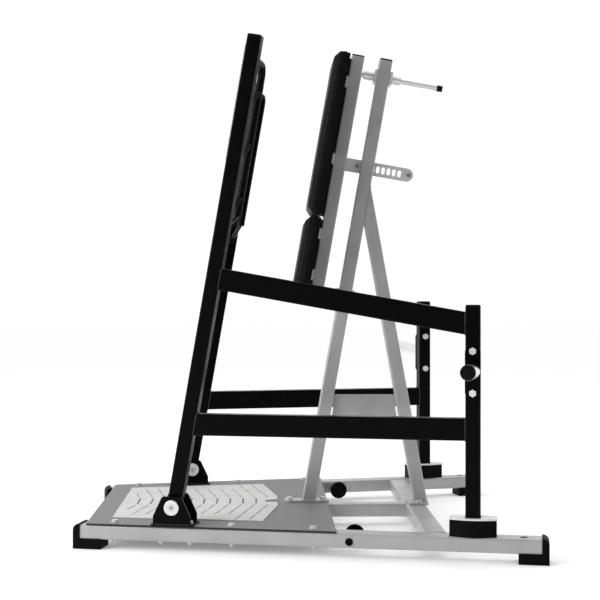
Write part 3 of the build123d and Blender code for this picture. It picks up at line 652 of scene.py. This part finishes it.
def add_grips():
    for side in ("left", "right"):
        shapes = []
        for points in loose_parts(NODES[side + "_handle_grips"]):
            centre = points.mean(0)
            axis = np.linalg.svd(points - centre, full_matrices=False)[2][0]
            reach = (points - centre) @ axis
            across = points - centre - np.outer(reach, axis)
            radius = float(np.linalg.norm(across, axis=1).max())
            start = Vector(centre + axis * reach.min())
            end = Vector(centre + axis * reach.max())
            shapes.append(grip_shape(start, end, radius))
        verts, faces = joined(shapes)
        piece = mesh_object(side + "_rubber_grips", verts, faces, MATERIALS["rubber"])
        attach(piece, side + "_arm")
        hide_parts(side + "_handle_grips")


# ---------------------------------------------------------------- pads

def local_copy(node):
    """A node's mesh as a new object in the column's leaning frame."""
    mesh = node.data.copy()
    mesh.transform(COLUMN.inverted())
    obj = bpy.data.objects.new("pad_work", mesh)
    bpy.context.scene.collection.objects.link(obj)
    return obj


def applied(obj):
    """The object's mesh with every modifier applied."""
    graph = bpy.context.evaluated_depsgraph_get()
    mesh = bpy.data.meshes.new_from_object(obj.evaluated_get(graph))
    obj.modifiers.clear()
    obj.data = mesh
    return obj


def coordinates(mesh):
    co = np.zeros(len(mesh.vertices) * 3)
    mesh.vertices.foreach_get("co", co)
    return co.reshape(-1, 3)


def set_coordinates(mesh, co):
    mesh.vertices.foreach_set("co", np.asarray(co, np.float32).ravel())
    mesh.update()


def smooth_step(value, low, high):
    t = np.clip((value - low) / (high - low), 0, 1)
    return t * t * (3 - 2 * t)


def inflate(obj, cap):
    """Swells the cover with a cloth simulation, moving no point further than the cap."""
    start = coordinates(obj.data)
    back = obj.vertex_groups.new(name="back")
    stuck = [i for i, p in enumerate(start) if p[0] > PAD_BACK - 0.004]
    back.add(stuck, 1.0, "REPLACE")
    cloth = obj.modifiers.new("cloth", "CLOTH")
    cloth.settings.vertex_group_mass = "back"
    cloth.settings.use_pressure = True
    cloth.settings.uniform_pressure_force = 4.0
    cloth.settings.effector_weights.gravity = 0.0
    cloth.settings.quality = 5
    cloth.settings.tension_stiffness = 15.0
    cloth.settings.compression_stiffness = 15.0
    cloth.settings.bending_stiffness = 0.5
    scene = bpy.context.scene
    for number in range(1, 21):
        scene.frame_set(number)
    applied(obj)
    scene.frame_set(1)
    end = coordinates(obj.data)
    move = end - start
    far = np.linalg.norm(move, axis=1, keepdims=True)
    far = np.maximum(far, 1e-9)
    set_coordinates(obj.data, start + move * (cap * np.tanh(far / cap) / far))


def shape_cushion(obj, low, high, half):
    """Crowns the front, and pulls the sides in along the sewn seam."""
    co = coordinates(obj.data)
    x, y, z = co[:, 0].copy(), co[:, 1].copy(), co[:, 2].copy()
    middle = (low + high) / 2
    across = np.clip(1 - (y / (half - 0.012)) ** 2, 0, 1)
    along = np.clip(1 - ((z - middle) / ((high - low) / 2 - 0.012)) ** 8, 0, 1)
    front = smooth_step(-x, -PAD_SEAM, -PAD_FRONT - 0.006)
    co[:, 0] -= PAD_CROWN * across * along * front
    near = np.exp(-((x - PAD_SEAM) / 0.0042) ** 2)
    pucker = 0.75 + 0.25 * np.sin(z * 310 + 1.7 * np.sin(z * 47)) * np.cos(y * 290)
    rim_y = smooth_step(np.abs(y), half - 0.014, half - 0.004)
    rim_z = smooth_step(np.abs(z - middle), (high - low) / 2 - 0.014, (high - low) / 2 - 0.004)
    pull = SEAM_PULL * near * pucker
    co[:, 1] -= np.sign(y) * pull * rim_y
    co[:, 2] -= np.sign(z - middle) * pull * rim_z
    co[:, 0] = np.clip(co[:, 0], PAD_FRONT - 0.0020, PAD_BACK)
    co[:, 1] = np.clip(co[:, 1], -half - 0.001, half + 0.001)
    co[:, 2] = np.clip(co[:, 2], low + 0.0002, high - 0.0002)
    set_coordinates(obj.data, co)


def rim_line(tree, x, low, high, half, inset=0.0, step=0.004):
    """Points round the cushion's side at one depth, found on its surface."""
    middle = (low + high) / 2
    width = 2 * half
    height = high - low
    corner = 0.016
    outline = []
    for cy, cz, start in ((1, 1, 0), (-1, 1, 90), (-1, -1, 180), (1, -1, 270)):
        for k in range(7):
            angle = math.radians(start + k * 15)
            outline.append((
                cy * (width / 2 - corner) + corner * math.cos(angle),
                middle + cz * (height / 2 - corner) + corner * math.sin(angle),
            ))
    points = []
    for i, (y0, z0) in enumerate(outline):
        y1, z1 = outline[(i + 1) % len(outline)]
        steps = max(1, round(math.hypot(y1 - y0, z1 - z0) / step))
        for k in range(steps):
            t = k / steps
            target = Vector((x, y0 + (y1 - y0) * t, z0 + (z1 - z0) * t))
            found, normal, _, _ = tree.find_nearest(target)
            points.append((Vector((x, found.y, found.z)) - normal * inset, normal))
    return points


def stitches(line, length=0.0034, radius=0.00055):
    """Short threads along a line of surface points."""
    shapes = []
    for (point, normal), (after, _) in zip(line, line[1:] + line[:1]):
        along = (after - point).normalized()
        lift = normal * radius * 0.5
        begin = point - along * length / 2
        finish = point + along * length / 2
        path = [begin - normal * radius, point + lift, finish - normal * radius]
        shapes.append(swept(path, radius, 5, closed=False))
    return joined(shapes)


def add_pad(node_name, piece_name):
    """One cushion: a simulated cover, a piped seam and two rows of stitches."""
    node = NODES[node_name]
    obj = local_copy(node)
    co = coordinates(obj.data)
    low, high = float(co[:, 2].min()), float(co[:, 2].max())
    half = float(co[:, 1].max())
    centre = (low + high) / 2
    co[:, 0] = np.where(co[:, 0] < PAD_BACK - 0.001, co[:, 0] + PAD_SHRINK * 0.6, co[:, 0])
    co[:, 1] *= (half - PAD_SHRINK) / half
    tall = (high - low) / 2
    co[:, 2] = centre + (co[:, 2] - centre) * (tall - PAD_SHRINK) / tall
    set_coordinates(obj.data, co)
    remesh = obj.modifiers.new("remesh", "REMESH")
    remesh.mode = "VOXEL"
    remesh.voxel_size = 0.005
    applied(obj)
    inflate(obj, PAD_SWELL)
    shape_cushion(obj, low, high, half)
    soften = obj.modifiers.new("soften", "SMOOTH")
    soften.factor = 0.4
    soften.iterations = 2
    finer = obj.modifiers.new("finer", "SUBSURF")
    finer.levels = 1
    finer.render_levels = 1
    applied(obj)
    for polygon in obj.data.polygons:
        polygon.use_smooth = True
    obj.data.materials.clear()
    obj.data.materials.append(MATERIALS["vinyl"])
    obj.name = piece_name
    verts = [v.co.copy() for v in obj.data.vertices]
    tree = BVHTree.FromPolygons(verts, [tuple(p.vertices) for p in obj.data.polygons])

    piping_line = rim_line(tree, PAD_SEAM, low, high, half, inset=0.0002)
    verts, faces = swept([point for point, _ in piping_line], PIPING_RADIUS, 10)
    piping = mesh_object(piece_name + "_piping", verts, faces, MATERIALS["vinyl"])
    rows = [
        rim_line(tree, PAD_SEAM + gap, low, high, half, step=STITCH_PITCH)
        for gap in (STITCH_GAP, -STITCH_GAP)
    ]
    verts, faces = joined([stitches(row) for row in rows])
    thread = mesh_object(piece_name + "_stitches", verts, faces, MATERIALS["thread"])
    for piece in (obj, piping, thread):
        piece.data.transform(COLUMN)
        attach(piece, "pad_carriage")
    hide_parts(node_name)


def shade_strip(low, high):
    """A dark rubber strip with rounded long edges, between a pad's board and the carriage tube: painted
    shade, a black fill in a gap where there is only shade.
    """
    middle = (BOARD_BACK + CARRIAGE_FRONT) / 2
    half_depth = (CARRIAGE_FRONT - BOARD_BACK) / 2 + SHADE_STRIP_BITE - SHADE_STRIP_ROUND
    half_width = SHADE_STRIP_HALF_WIDTH - SHADE_STRIP_ROUND
    outline = []
    for cx, cy, start in ((1, 1, 0), (-1, 1, 90), (-1, -1, 180), (1, -1, 270)):
        for step in range(4):
            angle = math.radians(start + step * 30)
            x = middle + cx * half_depth + SHADE_STRIP_ROUND * math.cos(angle)
            y = cy * half_width + SHADE_STRIP_ROUND * math.sin(angle)
            outline.append((x, y))
    count = len(outline)
    verts = [Vector((x, y, z)) for z in (low, high) for x, y in outline]
    faces = [(k, (k + 1) % count, count + (k + 1) % count, count + k) for k in range(count)]
    faces.append(tuple(reversed(range(count))))
    faces.append(tuple(range(count, 2 * count)))
    return verts, faces


def add_shade_strips():
    """Dark strips behind both pads, broken where the brackets are: painted shade that fills the gap
    between board and tube with black.
    """
    shapes = []
    for name in ("main_pad", "lower_pad"):
        heights = [(COLUMN.inverted() @ v.co).z for v in NODES[name].data.vertices]
        marks = [min(heights) + SHADE_STRIP_INSET]
        for height in PAD_BRACKETS:
            if min(heights) < height < max(heights):
                marks.extend((height - BRACKET_HALF, height + BRACKET_HALF))
        marks.append(max(heights) - SHADE_STRIP_INSET)
        shapes.extend(shade_strip(low, high) for low, high in zip(marks[::2], marks[1::2]))
    verts, faces = joined(shapes)
    piece = mesh_object("pad_shade_strips", verts, faces, MATERIALS["rubber"], smooth=False)
    piece.data.transform(COLUMN)
    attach(piece, "pad_carriage")


def add_pin_rings():
    """The turned ring and centre mark on the outer end of each pivot pin's caps."""
    shapes = []
    for side in (-1, 1):
        matrix = side_frame(side)
        back = matrix.inverted()
        reach = [(back @ v.co).y for v in NODES["pivot_pins"].data.vertices if v.co.y * side > 0]
        for face in (min(reach), max(reach)):
            place = plane_at((0, face, PIVOT.z), (1, 0, 0), (0, 0, 1))
            for size, radius in PIN_RINGS:
                shapes.append(circle(matrix @ place, size, radius))
    verts, faces = joined(shapes)
    piece = mesh_object("pivot_pin_rings", verts, faces, MATERIALS["weld_silver"])
    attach(piece, "base")


# ---------------------------------------------------------------- stage

def add_stage():
    """A plain pale floor."""
    verts = [(-30, -30, 0), (30, -30, 0), (30, 30, 0), (-30, 30, 0)]
    n = Nodes("floor")
    tone = n.noise(0.8, 3.0)
    colour = n.mix(tone, (0.90, 0.90, 0.90), (0.93, 0.93, 0.93))
    roughness = n.span(tone, 0.3, 0.7, 0.85, 0.95)
    floor = mesh_object("floor", verts, [(0, 1, 2, 3)], n.finish(
        colour, roughness, n.bump(n.noise(60.0), 0.0002, 0.2), Specular_IOR_Level=0.1
    ), smooth=False)
    n.shader.inputs["Emission Color"].default_value = (1, 1, 1, 1)
    n.shader.inputs["Emission Strength"].default_value = 0.22
    floor.location.z = -0.0005


def add_world():
    """A white studio all round, dimmer on the camera's side."""
    world = bpy.data.worlds.new("studio")
    bpy.context.scene.world = world
    world.use_nodes = True
    tree = world.node_tree
    background = tree.nodes["Background"]
    background.inputs["Color"].default_value = (1, 1, 1, 1)
    place = tree.nodes.new("ShaderNodeTexCoord")
    facing = tree.nodes.new("ShaderNodeVectorMath")
    facing.operation = "DOT_PRODUCT"
    facing.inputs[1].default_value = (-0.34, 0.94, 0.0)
    tree.links.new(place.outputs["Generated"], facing.inputs[0])
    ramp = tree.nodes.new("ShaderNodeMapRange")
    ramp.interpolation_type = "SMOOTHSTEP"
    ramp.inputs["From Min"].default_value = -0.95
    ramp.inputs["From Max"].default_value = 0.0
    ramp.inputs["To Min"].default_value = 0.03
    ramp.inputs["To Max"].default_value = 1.05
    tree.links.new(facing.outputs["Value"], ramp.inputs["Value"])
    tree.links.new(ramp.outputs["Result"], background.inputs["Strength"])


def area_light(name, place, target, size, power):
    data = bpy.data.lights.new(name, "AREA")
    data.shape = "RECTANGLE"
    data.size, data.size_y = size
    data.energy = power
    light = bpy.data.objects.new(name, data)
    bpy.context.scene.collection.objects.link(light)
    light.location = place
    aim = Vector(target) - Vector(place)
    light.rotation_euler = aim.to_track_quat("-Z", "Y").to_euler()


def add_lights():
    area_light("top", (0.3, 0.4, 4.2), (0, 0, 0.6), (3.5, 3.5), 20.0)
    area_light("rear", (4.2, 0.8, 2.2), (0, 0, 0.8), (3.0, 3.0), 12.0)
    area_light("front", (-3.8, -2.6, 2.2), (0, 0, 0.8), (2.5, 2.5), 110.0)


def add_camera():
    data = bpy.data.cameras.new("camera")
    data.sensor_width = 36.0
    data.lens = 78.792
    data.shift_y = -0.0161
    camera = bpy.data.objects.new("camera", data)
    bpy.context.scene.collection.objects.link(camera)
    camera.location = (-0.1395, -5.065, 0.903)
    camera.rotation_euler = (math.radians(90), 0, math.radians(-1.531))
    bpy.context.scene.camera = camera


add_camera()
add_world()
add_lights()
bpy.context.scene.view_settings.view_transform = "Standard"
add_stage()
paint_cad_nodes()
add_pad("main_pad", "main_cushion")
add_pad("lower_pad", "lower_cushion")
add_grips()
add_welds()
add_shade_strips()
add_pin_rings()
